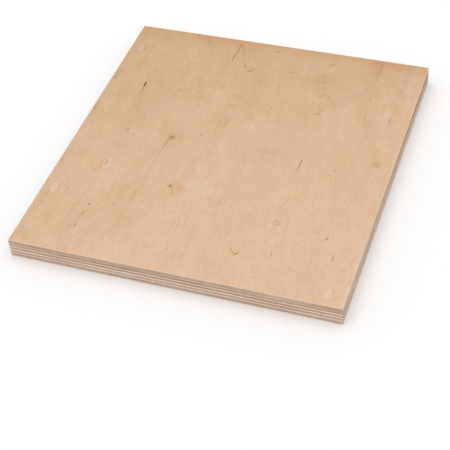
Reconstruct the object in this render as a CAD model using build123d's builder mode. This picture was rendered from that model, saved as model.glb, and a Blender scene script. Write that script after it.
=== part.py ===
from build123d import *

import os

# A small square-cut sheet of birch plywood, lying flat on its back face.
# X runs across the face grain, Y along it, Z up through the thickness.
# The origin is the middle of the back face, on the surface the sheet lies on.

# Driving dimensions, in millimetres
sheet_width = 240.0  # X, across the face grain
sheet_length = 260.0  # Y, along the face grain
ply_count = 11  # veneers, glued crosswise into one board
ply_thickness = 15.0 / 11  # each veneer after pressing and sanding
sheet_thickness = ply_count * ply_thickness  # Z, the 15 mm stock gauge
face_arris = 0.30  # sanded break along the edges of both faces
corner_arris = 0.45  # sanded break down the four upright corners

os.makedirs("parts", exist_ok=True)

# The sheet: sawn square on all four sides, and sanded on both faces.
# Every veneer is bonded to the next over its whole area, so it is one solid.
with BuildPart() as plywood_sheet:
    with BuildSketch(Plane.XY) as outline:
        with BuildLine() as sawn_outline:
            Polyline(
                (-sheet_width / 2, -sheet_length / 2),
                (sheet_width / 2, -sheet_length / 2),
                (sheet_width / 2, sheet_length / 2),
                (-sheet_width / 2, sheet_length / 2),
                close=True,
            )
        make_face()
    extrude(amount=sheet_thickness)

    # The saw leaves the upright corners sharp; a rub of sandpaper blunts them.
    chamfer(plywood_sheet.edges().filter_by(Axis.Z), length=corner_arris)

    # Sanding the faces takes the sharpness off their edges too.
    chamfer(
        plywood_sheet.faces().sort_by(Axis.Z)[-1].edges()
        + plywood_sheet.faces().sort_by(Axis.Z)[0].edges(),
        length=face_arris,
    )

plywood_sheet.part.label = "plywood_sheet"
export_step(plywood_sheet.part, "parts/plywood_sheet.step")

box = plywood_sheet.part.bounding_box()
print("sheet", box.size.X, box.size.Y, box.size.Z)
print("lowest point", box.min.Z, "ply", ply_thickness)
print("volume mm3", plywood_sheet.part.volume)
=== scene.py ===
import math

import bmesh
import bpy
import numpy as np
from mathutils import Matrix, Vector, kdtree
from mathutils.geometry import delaunay_2d_cdt


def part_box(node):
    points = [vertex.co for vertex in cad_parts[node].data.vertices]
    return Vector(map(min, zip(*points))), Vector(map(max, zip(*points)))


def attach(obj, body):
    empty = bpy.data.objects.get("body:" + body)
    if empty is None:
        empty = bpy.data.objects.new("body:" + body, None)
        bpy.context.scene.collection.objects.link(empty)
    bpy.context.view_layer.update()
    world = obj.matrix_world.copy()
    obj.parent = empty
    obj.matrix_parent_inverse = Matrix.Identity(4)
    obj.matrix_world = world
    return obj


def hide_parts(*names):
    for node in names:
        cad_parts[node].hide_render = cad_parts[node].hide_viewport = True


# A small sheet of sanded birch plywood. Lengths in this script are millimetres
# in the row frame, and are turned into metres where a mesh is made.
# X runs across the face grain, Y along it, Z up through the eleven veneers.

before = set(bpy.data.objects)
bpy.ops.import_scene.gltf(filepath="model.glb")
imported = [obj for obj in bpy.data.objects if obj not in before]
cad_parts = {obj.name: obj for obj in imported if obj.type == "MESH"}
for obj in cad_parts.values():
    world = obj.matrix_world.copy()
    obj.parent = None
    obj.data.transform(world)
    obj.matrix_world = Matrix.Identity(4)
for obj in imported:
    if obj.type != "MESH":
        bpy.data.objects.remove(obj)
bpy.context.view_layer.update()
box_lo, box_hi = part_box("plywood_sheet")
HX = (box_hi.x - box_lo.x) * 500  # half the width
HY = (box_hi.y - box_lo.y) * 500  # half the length
TH = (box_hi.z - box_lo.z) * 1000  # thickness

PLIES = 11
FACE_PLY = 1.06  # the two outer veneers are sanded thinner than the inner ones
CORE_PLY = (TH - 2 * FACE_PLY) / (PLIES - 2)
CORNER_R = 0.45  # the blunted upright corners
RIM = 1.0  # the band of face that belongs to the edge strip


# ---------------------------------------------------------------- noise
def ring_noise(s, period, step, seed):
    """Smooth noise from -1 to 1 along a closed loop of length period."""
    n = max(3, int(round(period / step)))
    v = np.random.RandomState(seed).uniform(-1, 1, n)
    t = np.asarray(s, float) / period * n
    i = np.floor(t).astype(int)
    f = t - i
    f = f * f * (3 - 2 * f)
    return v[i % n] * (1 - f) + v[(i + 1) % n] * f


def flat_noise(x, y, step_x, step_y, seed):
    """Smooth noise from -1 to 1 over the plane."""
    n = 97
    v = np.random.RandomState(seed).uniform(-1, 1, (n, n))
    tx, ty = np.asarray(x, float) / step_x + 40.3, np.asarray(y, float) / step_y + 40.7
    i, j = np.floor(tx).astype(int), np.floor(ty).astype(int)
    fx, fy = tx - i, ty - j
    fx, fy = fx * fx * (3 - 2 * fx), fy * fy * (3 - 2 * fy)
    a = v[i % n, j % n] * (1 - fx) + v[(i + 1) % n, j % n] * fx
    b = v[i % n, (j + 1) % n] * (1 - fx) + v[(i + 1) % n, (j + 1) % n] * fx
    return a * (1 - fy) + b * fy


def smooth(a, b, x):
    t = np.clip((np.asarray(x, float) - a) / (b - a), 0, 1)
    return t * t * (3 - 2 * t)


# ---------------------------------------------------------------- marks on a face
STAINS = ("dark", "warm", "pale", "grey", "own")
FIGURE = ("figu", "figv", "figc", "figd", "figw")
CARRIED = STAINS + ("flow",) + FIGURE  # kept on the mesh, where the materials read them
CHANNELS = CARRIED + ("relief",)


class Face:
    """The marks of one veneer face: where its mesh is fine, and what each point of it carries.
    dark is bark, cracks and knot hearts, warm the rust-brown stain, pale the light plugs,
    grey the cool smudges, own a plug's own grain, flow how far (mm) the grain is pushed aside,
    relief the depth below the face in mm. A figure is a place where the growth lines close
    into a flame or a ring: a line there is where sqrt(figu^2 + figv^2 + figc) + figd is constant,
    and figw is how strong the lines are."""

    def __init__(self):
        self.points, self.edges, self.marks, self.figures = [], [], [], []

    def line(self, pts, closed=False):
        first = len(self.points)
        self.points += [tuple(p) for p in pts]
        n = len(pts)
        self.edges += [(first + i, first + i + 1) for i in range(n - 1)]
        if closed:
            self.edges.append((first + n - 1, first))

    def add(self, x, y, reach, fn):
        self.marks.append((x, y, reach, fn))

    def bulge(self, cx, cy, push, wide, tall):
        """The grain parts round a knot or a plug."""

        def fn(x, y):
            u, v = x - cx, y - cy
            return {"flow": push * np.tanh(u / (0.6 * wide)) * np.exp(-((u / (2.6 * wide)) ** 2) - (v / tall) ** 2)}

        self.add(cx, cy, 2.2 * max(2.6 * wide, tall), fn)

    def figure(self, cx, cy, rx, ry, tip, across, along=0.0, blunt=0.0, climb=0.0, slant=0.0, weight=0.8):
        self.figures.append((cx, cy, rx, ry, tip, across, along, blunt, climb, slant, weight))

    # an oval plug let into the face, with the thin line of its cut all round, a warm rim outside the cut that is
    # heavier on one side as painted shade, and a pale rim that is heavier on the other side as a painted highlight
    def plug(self, cx, cy, a, b, turn=0.0, pale=0.7, dark=0.0, line=0.05, pointed=2.0, own=1.0, rim_warm=0.0, rim_pale=0.0, side=0.0, n=44):
        t = np.linspace(0, 2 * math.pi, n, endpoint=False)
        c, s = math.cos(math.radians(turn)), math.sin(math.radians(turn))
        ex = np.sign(np.cos(t)) * np.abs(np.cos(t)) ** (2 / pointed)
        ey = np.sign(np.sin(t)) * np.abs(np.sin(t)) ** (2 / pointed)
        for off in (-1.6, -0.55, -0.22, -0.08, 0.08, 0.25, 0.8):
            u, v = ex * (a + off), ey * (b + off)
            self.line(np.stack([cx + c * u - s * v, cy + s * u + c * v], 1), True)

        def fn(x, y):
            u, v = c * (x - cx) + s * (y - cy), -s * (x - cx) + c * (y - cy)
            rho = (np.abs(u / a) ** pointed + np.abs(v / b) ** pointed) ** (1 / pointed)
            d = (rho - 1) * np.hypot(u, v) / np.maximum(rho, 1e-6)
            inside = 1 - smooth(-0.14, 0.14, d)
            cut = np.exp(-((d / 0.15) ** 2))
            outside = np.exp(-(((d - 0.45) / 0.40) ** 2))
            shade_side = 0.5 + 0.5 * side * u / a  # painted shade and highlight: the warm rim is heavier on one side of the cut as painted shade, the pale rim heavier on the other as a painted highlight
            mottle = 1 + 0.22 * flat_noise(x, y, 1.3, 2.6, 5)
            return {
                "pale": pale * inside * mottle + rim_pale * outside * (1.3 - shade_side),
                "warm": rim_warm * outside * shade_side * 2,
                "own": own * inside,
                "dark": dark * inside * mottle + line * cut,
                "relief": 0.055 * cut + 0.012 * inside,
            }

        self.add(cx, cy, max(a, b) + 2.5, fn)
        self.bulge(cx, cy, 0.5 * a, a, 2.0 * b)

    # a round knot or pin knot: body, rim, paler heart and a stained halo
    def knot(self, cx, cy, r, dark=0.2, warm=0.1, hollow=0.0, halo=0.0, halo_r=0.0, squash=1.0, push=0.55, wobble=1.0, crisp=0.0, n=20):
        t = np.linspace(0, 2 * math.pi, n, endpoint=False)
        for k in ((0.45, 0.85, 1.25, 1.8) if r < 1.0 else (0.35, 0.65, 0.85, 1.05, 1.3, 1.8)):
            self.line(np.stack([cx + np.cos(t) * r * k, cy + np.sin(t) * r * k * squash], 1), True)
        self.points.append((cx, cy))
        p1, p2 = (cx * 1.7 + cy * 0.9) % 6.28, (cx * 0.6 - cy * 2.3) % 6.28

        def fn(x, y):
            u, v = x - cx, (y - cy) / squash
            th = np.arctan2(v, u)
            wob = 1 + wobble * (0.12 * np.sin(2 * th + p1) + 0.09 * np.sin(3 * th + p2))
            d = np.hypot(u, v) / (r * wob)
            body = 1 - smooth(0.60 + 0.28 * crisp, 1.18 - 0.10 * crisp, d)
            body = body * (1 - hollow * np.exp(-((d / 0.52) ** 2))) + 0.35 * hollow * np.exp(-(((d - 0.85) / 0.2) ** 2))
            body = body * (1 + 0.25 * flat_noise(x, y, 0.8, 0.8, 7))
            h = np.exp(-((d * r / max(halo_r, 1e-3)) ** 2)) * (halo_r > 0)
            return {"dark": dark * body, "warm": warm * body + halo * h, "relief": 0.05 * body * min(1.0, 2.5 * dark + 0.3)}

        self.add(cx, cy, max(r * 2.2, 2.4 * halo_r) + 0.5, fn)
        if push:
            self.bulge(cx, cy, push * r, 1.3 * r, 4.5 * r + 1.5)

    # a crack, streak or growth line through the given points
    def streak(self, pts, width, dark=0.0, warm=0.0, grey=0.0, pale=0.0, ends=0.25, dash=0.0, deep=0.0, shake=0.0, seed=1, start=None, stop=None):
        pts = np.array(pts, float)
        seg = np.hypot(*np.diff(pts, axis=0).T)
        cum = np.concatenate([[0], np.cumsum(seg)])
        total = cum[-1]
        bold = dark + warm > 0.3 or deep > 0 or dash > 0
        n = max(4, int(total / (0.8 if bold else 1.4)) + 1)
        at = np.linspace(0, total, n)
        # a smooth run through the points, so that a growth line has no corners
        xs, ys = np.interp(at, cum, pts[:, 0]), np.interp(at, cum, pts[:, 1])
        if len(pts) > 2:
            for _ in range(2 + int(1.2 * min(seg))):
                xs[1:-1] = (xs[:-2] + 2 * xs[1:-1] + xs[2:]) / 4
                ys[1:-1] = (ys[:-2] + 2 * ys[1:-1] + ys[2:]) / 4
        tx, ty = np.gradient(xs), np.gradient(ys)
        ln = np.maximum(np.hypot(tx, ty), 1e-9)
        nx, ny = -ty / ln, tx / ln
        wave = 0.16 * width * ring_noise(at, 211.0, 2.3, seed + 77)
        if shake:  # a growth line that trembles as it crosses the fibre
            wave = wave + shake * ring_noise(at, 97.0, 1.8, seed + 55)
        xs, ys = xs + nx * wave, ys + ny * wave
        taper = np.minimum(smooth(0, ends, at / total), smooth(0, ends, 1 - at / total)) if ends > 0 else np.ones(n)
        if start is not None:  # strength at the two ends, for one that fades out
            taper = taper * np.interp(at / total, [0, 1], [start, stop])
        if dash:
            taper = taper * np.clip(1 - dash * (0.5 + 0.9 * ring_noise(at, 60.0, 1.6, seed + 31)), 0, 1.3)
        half = width / 2
        for off in (0.0, 0.5, -0.5, 1.0, -1.0, 1.9, -1.9) if bold else (0.0, 0.7, -0.7, 1.4, -1.4):
            self.line(np.stack([xs + nx * half * off, ys + ny * half * off], 1))
        cen = np.stack([xs, ys], 1)
        gap = total / (n - 1)

        def fn(x, y):
            d2 = (x[:, None] - cen[None, :, 0]) ** 2 + (y[:, None] - cen[None, :, 1]) ** 2
            i = d2.argmin(1)
            # distance across the line, from the nearest sample's own normal
            across = np.abs((x - xs[i]) * nx[i] + (y - ys[i]) * ny[i])
            along = np.abs((x - xs[i]) * -ny[i] + (y - ys[i]) * nx[i])
            near = along < 0.9 * gap
            w = (1 - smooth(0.40, 1.04, across / half)) * near * taper[i]
            soft = (1 - smooth(0.5, 2.0, across / half)) * near * taper[i]
            return {"dark": dark * w, "warm": warm * (0.6 * w + 0.4 * soft), "grey": grey * soft, "pale": pale * soft, "relief": deep * w}

        m = (pts.max(0) + pts.min(0)) / 2
        self.add(m[0], m[1], total / 2 + 3 * width + 1 + float(np.ptp(pts, 0).max()) / 2, fn)

    # a soft cloud of tone
    def smudge(self, cx, cy, rx, ry, turn=0.0, **amounts):
        c, s = math.cos(math.radians(turn)), math.sin(math.radians(turn))

        def fn(x, y):
            u, v = c * (x - cx) + s * (y - cy), -s * (x - cx) + c * (y - cy)
            u = u + 0.35 * rx * flat_noise(x, y, 0.8 * rx, 0.8 * ry, 23)
            v = v + 0.35 * ry * flat_noise(x, y, 0.8 * rx, 0.8 * ry, 29)
            w = np.exp(-((u / rx) ** 2) - (v / ry) ** 2)
            return {k: a * w for k, a in amounts.items()}

        self.add(cx, cy, 2.6 * max(rx, ry), fn)

    def read(self, x, y):
        out = {k: np.zeros(len(x)) for k in CHANNELS}
        for cx, cy, reach, fn in self.marks:
            near = (np.abs(x - cx) < reach) & (np.abs(y - cy) < reach)
            if near.any():
                for k, v in fn(x[near], y[near]).items():
                    out[k][near] += v
        for i, (cx, cy, rx, ry, tip, across, along, blunt, climb, slant, weight) in enumerate(self.figures):
            w = weight * np.exp(-(((x - cx) / rx) ** 2) - ((y - cy) / ry) ** 2)
            take = w > out["figw"]
            u, v = x[take] - tip[0], y[take] - tip[1]
            out["figu"][take] = across * (u + slant * v)
            out["figv"][take] = along * v
            out["figc"][take] = blunt * blunt
            out["figd"][take] = climb * v + 40.0 * (i + 1)
            out["figw"][take] = w[take]
        return out


# ---------------------------------------------------------------- the better face
def better_face():
    f = Face()
    P, K, S, C, F = f.plug, f.knot, f.streak, f.smudge, f.figure

    # growth lines that close into flames, and the rings that run round a knot
    F(-16.5, 106.0, 11.0, 20.0, (-16.5, 91.0), 2.3, blunt=3.2, climb=-1)
    F(-15.2, 56.0, 8.0, 13.0, (-15.4, 47.0), 2.6, blunt=2.6, climb=-1)
    F(-15.8, 24.0, 6.0, 20.0, (-15.8, 9.0), 4.6, blunt=3.5, climb=-1, weight=0.9)
    F(31.0, -87.0, 13.0, 20.0, (36.7, -101.5), 1.8, blunt=2.2, climb=-1, slant=0.10)
    F(-12.4, -88.0, 6.0, 16.0, (-12.4, -75.0), 5.0, blunt=3.9, climb=1, weight=0.9)
    F(58.0, -122.0, 15.0, 10.0, (58.0, -117.0), 0.62, blunt=4.0, climb=1, weight=0.4)
    F(52.0, 66.0, 12.0, 16.0, (51.5, 78.0), 1.5, blunt=3.0, climb=1, weight=0.7)
    F(84.5, -60.0, 5.0, 11.0, (84.2, -68.6), 2.4, blunt=2.4, climb=-1)
    F(11.0, -63.0, 11.0, 10.0, (11.0, -57.0), 1.0, 0.8, blunt=0.4, weight=0.9)
    F(-26.5, -50.0, 8.5, 10.0, (-28.8, -49.8), 1.0, 0.6, blunt=0.4, weight=0.7)
    F(-82.0, -38.0, 9.0, 13.0, (-83.6, -37.6), 1.0, 0.5, blunt=0.4, weight=0.7)
    F(-37.0, -68.0, 6.0, 8.0, (-34.0, -67.0), 1.0, 0.7, blunt=0.4)
    F(107.0, 8.0, 9.0, 11.0, (108.0, 9.2), 1.0, 0.75, blunt=0.4, weight=0.6)
    F(46.0, 102.0, 9.0, 16.0, (46.3, 114.0), 1.0, 0.5, blunt=0.4, weight=0.7)
    F(-102.0, -68.0, 9.0, 14.0, (-106.5, -71.5), 1.0, 0.55, blunt=0.4, weight=0.7)
    F(-112.0, 60.0, 7.0, 9.0, (-117.5, 59.4), 1.0, 0.7, blunt=0.4, weight=0.6)
    F(-112.0, 17.0, 7.0, 10.0, (-118.2, 19.2), 1.0, 0.7, blunt=0.4, weight=0.6)
    F(-62.0, 53.0, 9.0, 12.0, (-63.6, 55.6), 1.0, 0.6, blunt=0.4, weight=0.6)

    # oval veneer plugs
    P(-111.4, 100.4, 3.2, 5.3, 0, pale=0.60, rim_warm=0.16, side=0.5)
    S([(-107.6, 104.5), (-107.2, 100.5), (-107.8, 96.5)], 0.8, warm=0.38)
    C(-115.6, 100.4, 1.6, 5.0, 0, warm=0.12)
    P(-64.1, 56.0, 3.1, 3.7, 0, pale=0.56, dark=0.026, line=0.02)
    S([(-61.3, 57.8), (-60.9, 55.9), (-61.5, 54.1)], 0.65, dark=0.10, warm=0.22)
    C(-65.6, 57.6, 4.2, 3.2, 0, pale=0.26)
    C(-66.4, 63.0, 2.0, 5.0, -10, pale=0.36)
    C(-59.1, 51.6, 2.2, 2.4, 0, pale=0.72)
    S([(-62.5, 52.4), (-62.0, 48.0), (-62.6, 43.0)], 1.0, warm=0.34)
    P(-83.7, -37.3, 3.1, 6.1, -2, pale=1.05, line=0.02, pointed=2.2, rim_warm=0.12, side=-0.7)
    S([(-84.5, -33.6), (-84.2, -37.2), (-83.9, -40.8)], 1.2, dark=0.085, warm=0.26)
    S([(-85.3, -34.4), (-85.5, -37.2), (-84.8, -39.6)], 0.4, dark=0.04)
    S([(-86.4, -30.6), (-87.4, -35.0), (-87.2, -39.4), (-86.0, -43.6)], 1.0, warm=0.32, dash=0.3)
    S([(-80.2, -31.0), (-79.9, -37.0), (-80.4, -42.0)], 0.6, warm=0.14)
    S([(-84.2, -8.5), (-82.8, -16.0), (-84.0, -29.8)], 0.7, warm=0.20, dash=0.4)
    C(-89.4, -43.6, 3.2, 5.2, -20, warm=0.18)
    C(-76.5, -40.0, 3.5, 6.0, 0, pale=0.16)
    P(-110.95, -71.8, 3.1, 5.1, 0, pale=0.50, line=0.03)
    P(-104.7, -72.0, 2.4, 4.0, 6, pale=0.34, line=0.01)
    S([(-107.5, -68.0), (-107.0, -71.0), (-107.7, -74.2)], 0.75, warm=0.44, dark=0.02)
    S([(-103.6, -60.5), (-102.4, -64.0), (-101.8, -67.6)], 0.7, warm=0.14, dash=0.4)
    S([(-102.6, -66.8), (-101.3, -70.6), (-101.6, -73.0), (-102.5, -75.2)], 0.8, warm=0.34, ends=0.2)
    S([(-105.0, -58.0), (-104.4, -63.0), (-104.8, -66.0)], 0.7, warm=0.16)
    C(-113.8, -79.4, 1.4, 2.6, 0, warm=0.22)
    P(102.1, 65.3, 3.15, 6.9, 1.5, pale=0.84, line=0.02, pointed=1.8)
    S([(105.2, 63.8), (105.4, 60.4), (105.2, 56.6)], 0.9, dark=0.045, warm=0.46, ends=0.14)
    K(105.1, 57.4, 0.6, dark=0.05, warm=0.2, push=0, n=14)
    S([(96.6, 62.0), (96.4, 56.0)], 0.8, warm=0.16)
    S([(99.0, 53.0), (98.8, 48.0)], 0.8, warm=0.14)
    P(55.6, -65.9, 2.9, 3.8, 0, pale=0.0, dark=0.046, line=0.02, rim_pale=1.15, side=0.6)
    C(55.6, -65.9, 2.6, 3.4, 0, grey=0.06)
    S([(55.8, -69.0), (55.9, -71.4), (56.1, -73.6)], 1.4, grey=0.10, warm=0.20)
    S([(56.2, -57.6), (56.1, -62.0)], 0.7, warm=0.22)
    C(54.0, -71.5, 2.4, 1.2, -12, warm=0.12)
    P(106.7, -119.6, 3.2, 4.6, 0, pale=0.36, line=0.02)
    S([(110.6, -115.6), (110.9, -117.6), (110.6, -119.7)], 0.8, warm=0.42, dark=0.02, dash=0.3)

    # knots and pin knots
    K(108.1, 9.4, 3.5, dark=0.0, warm=0.26, hollow=0.10, wobble=0.25, crisp=1.0, push=0.45, n=40)
    K(106.9, 10.0, 0.6, dark=0.03, warm=0.12, push=0)
    K(108.4, 8.2, 0.6, dark=0.03, warm=0.12, push=0)
    C(109.5, 2.6, 3.8, 2.2, 0, pale=0.34)
    C(115.0, 8.0, 2.0, 6.0, 0, pale=0.16)
    K(-47.2, 1.3, 1.95, dark=0.215, warm=0.12, hollow=0.58, squash=1.0, crisp=0.5, n=30)
    K(-45.4, 2.7, 0.6, dark=0.09, warm=0.14, push=0)
    K(-48.3, 2.2, 0.6, dark=0.06, warm=0.08, push=0)
    C(-41.5, 3.5, 3.4, 4.0, 0, warm=0.15)
    C(-45.4, 2.6, 2.6, 2.6, 0, warm=0.12)
    S([(-49.4, 16.0), (-49.4, 9.0), (-49.1, 2.6)], 0.5, dark=0.10, warm=0.05, dash=0.5, ends=0.3, deep=0.04)
    K(-29.3, -49.3, 1.0, dark=0.29, warm=0.02, wobble=1.4, n=24)
    K(-28.9, -48.9, 2.1, dark=0.035, warm=0.20, hollow=0.9, wobble=1.3, crisp=0.3, n=26)
    C(-29.2, -49.5, 3.8, 4.2, 0, warm=0.07)
    K(46.4, 114.7, 1.95, dark=0.02, warm=0.30, hollow=0.35, crisp=0.8, n=28)
    K(10.6, -56.6, 1.7, dark=0.030, warm=0.20, hollow=1.0, wobble=0.5, crisp=0.3, n=26)
    C(10.6, -57.0, 3.4, 3.2, 0, warm=0.10)
    K(-116.9, 58.6, 1.3, dark=0.11, warm=0.30, n=22)
    C(-116.4, 63.0, 1.9, 4.0, 4, warm=0.30, dark=0.012)
    K(-117.95, 18.9, 0.85, dark=0.22, warm=0.16, squash=1.25, n=20)
    C(-118.4, 21.8, 1.2, 2.8, 4, warm=0.34)
    S([(-117.9, 17.8), (-117.6, 14.0)], 0.7, dark=0.04, warm=0.3)
    C(-113.0, 54.2, 4.2, 2.2, -8, pale=0.34)
    K(-59.0, 120.4, 0.8, dark=0.10, warm=0.22, squash=1.5)
    K(-70.2, 127.9, 0.9, dark=0.19, warm=0.72, squash=0.8)
    K(-0.9, 121.0, 0.8, dark=0.16, warm=0.46, squash=1.4)
    K(16.6, 98.0, 0.7, dark=0.24, warm=0.12)
    K(51.5, 54.7, 0.95, dark=0.10, warm=0.46, squash=1.2)
    K(-26.6, 9.7, 0.65, dark=0.18, warm=0.30, squash=1.3)
    K(-15.4, 10.0, 0.55, dark=0.08, warm=0.26)
    K(-103.1, 1.5, 0.6, dark=0.12, warm=0.20)
    K(-83.0, 1.9, 0.85, dark=0.10, warm=0.80)
    C(-81.9, 0.9, 1.8, 1.2, 0, pale=0.36)
    K(-66.2, 22.5, 1.0, dark=0.0, warm=0.22)
    K(93.1, -71.9, 0.82, dark=0.10, warm=1.2)
    K(-49.7, -109.6, 0.65, dark=0.045, warm=0.46)
    K(109.4, -97.4, 0.6, dark=0.03, warm=0.28)
    K(112.0, -97.4, 0.6, dark=0.0, warm=0.50)
    K(118.0, -97.6, 0.65, dark=0.02, warm=0.26)
    K(112.5, 121.0, 0.7, dark=0.02, warm=0.44)
    K(28.1, 17.0, 0.75, dark=0.0, warm=0.34)
    K(-79.0, -81.9, 0.78, dark=0.30, warm=0.10, squash=1.2)
    K(-80.5, -103.7, 0.66, dark=0.23, warm=0.06, squash=1.2)
    C(-79.6, -84.6, 1.8, 2.0, 0, pale=0.2)
    K(47.2, -26.2, 0.6, dark=0.06, warm=0.22)
    K(63.4, -65.0, 0.6, dark=0.06, warm=0.46, squash=1.6)
    K(42.9, 100.3, 0.8, dark=0.0, warm=0.44, squash=1.8)
    C(40.6, 96.8, 1.8, 2.2, 0, warm=0.20)
    K(20.2, -72.7, 0.6, dark=0.0, warm=0.45)
    K(61.3, -37.9, 0.75, dark=0.01, warm=0.40)
    K(72.8, 107.0, 0.6, dark=0.0, warm=0.30)
    K(9.1, 31.2, 0.6, dark=0.03, warm=0.22)

    # the dark bark pocket and its fading tail
    S([(-90.6, 60.2), (-90.6, 58.2), (-90.5, 56.0), (-90.4, 53.6)], 1.45, dark=0.76, warm=0.20, ends=0.28, deep=0.10)
    S([(-90.5, 56.6), (-90.4, 53.0), (-90.3, 49.0)], 1.2, dark=0.18, warm=0.16, ends=0.25, start=1.0, stop=0.9)
    S([(-90.3, 52.0), (-90.1, 47.0), (-89.9, 40.5)], 1.1, dark=0.13, grey=0.05, ends=0.15, start=1.0, stop=0.15)
    S([(-90.6, 66.5), (-90.6, 60.0)], 0.7, grey=0.10, dark=0.02, ends=0.4)

    # the two legs of the long V near the back edge
    S([(-32.5, 125.6), (-32.6, 118.0), (-32.8, 109.0), (-33.1, 100.4)], 0.78, dark=0.25, warm=0.46, ends=0.07, dash=0.12, deep=0.10)
    S([(-32.1, 125.2), (-29.8, 119.4), (-27.5, 113.8), (-26.0, 110.8)], 0.85, warm=0.66, dash=0.35, ends=0.10)
    S([(-27.9, 115.2), (-27.2, 113.6), (-26.7, 112.0)], 0.8, warm=0.08, ends=0.3)
    S([(-25.9, 110.8), (-23.4, 104.6), (-21.9, 99.6)], 0.8, warm=0.05, dash=0.5)
    S([(-21.9, 99.4), (-21.1, 97.4), (-19.0, 95.5)], 0.9, dark=0.11, warm=0.84, ends=0.15, dash=0.75, seed=4)
    S([(-19.0, 95.6), (-17.6, 93.6), (-16.4, 92.0)], 0.6, dark=0.0, warm=0.44, ends=0.1)
    S([(-16.8, 92.1), (-15.4, 91.4), (-14.4, 93.0), (-13.1, 94.8)], 0.95, dark=0.19, warm=1.15, ends=0.15, dash=0.2, seed=9)
    S([(-13.2, 94.4), (-11.8, 98.0), (-10.9, 102.0), (-10.2, 108.0)], 1.0, warm=0.26, ends=0.15, start=1, stop=0.5)
    C(-20.0, 110.0, 5.0, 10.0, 0, pale=0.14)

    # torn grain, a fan of short lines
    for x, y0, y1, w, k in (
        (-55.0, 79.0, 71.5, 0.7, 0.30), (-51.5, 80.0, 69.0, 0.8, 0.50), (-49.6, 76.0, 64.0, 0.6, 0.34),
        (-48.1, 81.0, 58.5, 0.8, 0.64), (-46.9, 72.0, 60.0, 0.6, 0.46), (-45.2, 77.0, 60.0, 0.7, 0.48),
        (-43.3, 74.5, 60.0, 0.6, 0.44), (-40.4, 77.0, 60.0, 0.7, 0.50), (-37.4, 74.0, 61.5, 0.6, 0.40),
        (-33.7, 77.0, 56.0, 0.65, 0.46), (-52.6, 66.0, 56.0, 0.7, 0.30), (-60.8, 74.0, 66.0, 0.7, 0.34),
        (-41.6, 60.0, 42.0, 0.6, 0.30), (-34.6, 54.0, 28.0, 0.65, 0.40), (-36.6, 46.0, 20.0, 0.6, 0.34),
        (-31.5, 50.0, 30.0, 0.6, 0.30), (-39.0, 52.0, 34.0, 0.5, 0.24), (-29.0, 44.0, 22.0, 0.6, 0.24),
    ):
        S([(x, y0), (x - 0.2, (y0 + y1) / 2), (x - 0.1, y1)], 1.15 * w, dark=0.018 * k, warm=0.50 * k, ends=0.40, dash=0.40, seed=int(-x * 7))
        S([(x + 0.9, y0 - 2), (x + 0.8, y1 + 1)], 0.8, pale=0.46 * k, ends=0.4)
    S([(-31.6, 72.6), (-29.8, 68.5), (-28.3, 64.0)], 1.3, grey=0.14, dark=0.02)
    S([(-30.8, 70.0), (-29.0, 64.0)], 1.0, pale=0.12)
    S([(-20.8, 60.5), (-20.4, 53.6), (-18.6, 49.2), (-16.4, 47.5), (-14.0, 47.7), (-11.6, 50.4), (-9.4, 54.4)], 1.0, warm=0.20, dash=0.75, shake=0.34, ends=0.14, seed=3)
    C(-15.8, 48.0, 2.2, 1.1, 0, warm=0.12)
    C(-15.6, 55.0, 3.4, 5.5, 0, pale=0.12)
    C(-8.5, 43.0, 5.0, 4.0, -20, pale=0.26)
    C(-15.0, 60.5, 6.0, 3.0, 0, warm=0.12)
    S([(-19.6, 36.5), (-18.3, 24.0), (-16.2, 9.5)], 1.0, warm=0.26, dash=0.5, seed=5)
    S([(-10.0, 38.0), (-12.6, 26.0), (-15.4, 10.5)], 1.2, warm=0.32, dash=0.5, seed=6)
    S([(-17.2, 34.0), (-16.3, 22.0), (-15.8, 14.0)], 0.8, warm=0.22, dash=0.4, seed=8)
    S([(-13.6, 34.0), (-14.6, 22.0)], 1.4, warm=0.20, dash=0.4, seed=10)
    S([(-24.9, 42.0), (-25.2, 30.0)], 0.6, warm=0.24, dash=0.4)
    S([(-23.0, 37.0), (-23.3, 27.0)], 0.6, warm=0.28, dark=0.02)

    # right of the middle, towards the back
    S([(12.7, 81.4), (12.6, 77.6)], 0.85, dark=0.065, warm=0.32)
    S([(14.8, 54.8), (14.7, 50.0)], 0.85, dark=0.135, warm=0.26)
    S([(14.9, 50.5), (15.2, 43.0), (15.6, 36.5)], 0.6, dark=0.07, warm=0.05, ends=0.1, start=1, stop=0.5)
    S([(15.6, 36.0), (16.8, 33.6), (18.4, 32.4), (19.8, 34.6)], 0.9, warm=0.24, dash=0.3)
    S([(19.5, 40.0), (20.4, 35.0)], 0.6, warm=0.20)
    S([(44.4, 93.6), (46.0, 91.8), (47.0, 90.4)], 1.1, dark=0.02, warm=0.36, ends=0.3)
    S([(46.8, 90.6), (48.2, 86.6), (48.9, 83.6)], 0.8, warm=0.22, ends=0.2, dash=0.3)
    S([(48.2, 86.6), (49.3, 83.0), (49.9, 78.6)], 0.7, warm=0.22)
    S([(46.2, 72.0), (47.0, 74.4), (48.8, 75.8), (51.2, 78.6), (53.6, 77.4), (55.2, 75.2), (56.2, 73.0), (58.8, 71.2)], 0.85, dark=0.01, warm=0.46, dash=0.4, shake=0.32, ends=0.06, seed=12)
    S([(58.8, 71.2), (61.4, 67.4), (63.2, 63.2), (64.4, 58.4)], 0.8, warm=0.20, ends=0.1, dash=0.3, start=1, stop=0.3)
    S([(51.9, 63.0), (51.6, 56.0)], 0.6, warm=0.20, grey=0.05)
    C(43.0, 87.0, 7.5, 9.0, 0, dark=0.016, warm=0.07)
    C(46.0, 98.0, 5.0, 5.0, 0, dark=0.008, warm=0.04)
    C(48.0, 110.4, 2.8, 2.6, -20, pale=0.92)
    C(41.5, 114.0, 1.6, 3.0, 0, pale=0.26)
    C(36.0, 127.0, 6.0, 4.0, 0, warm=0.16)
    S([(55.6, 30.0), (56.4, 24.0)], 0.7, warm=0.18)
    S([(52.3, 22.0), (53.6, 8.0)], 0.6, warm=0.16, dash=0.4)

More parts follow.
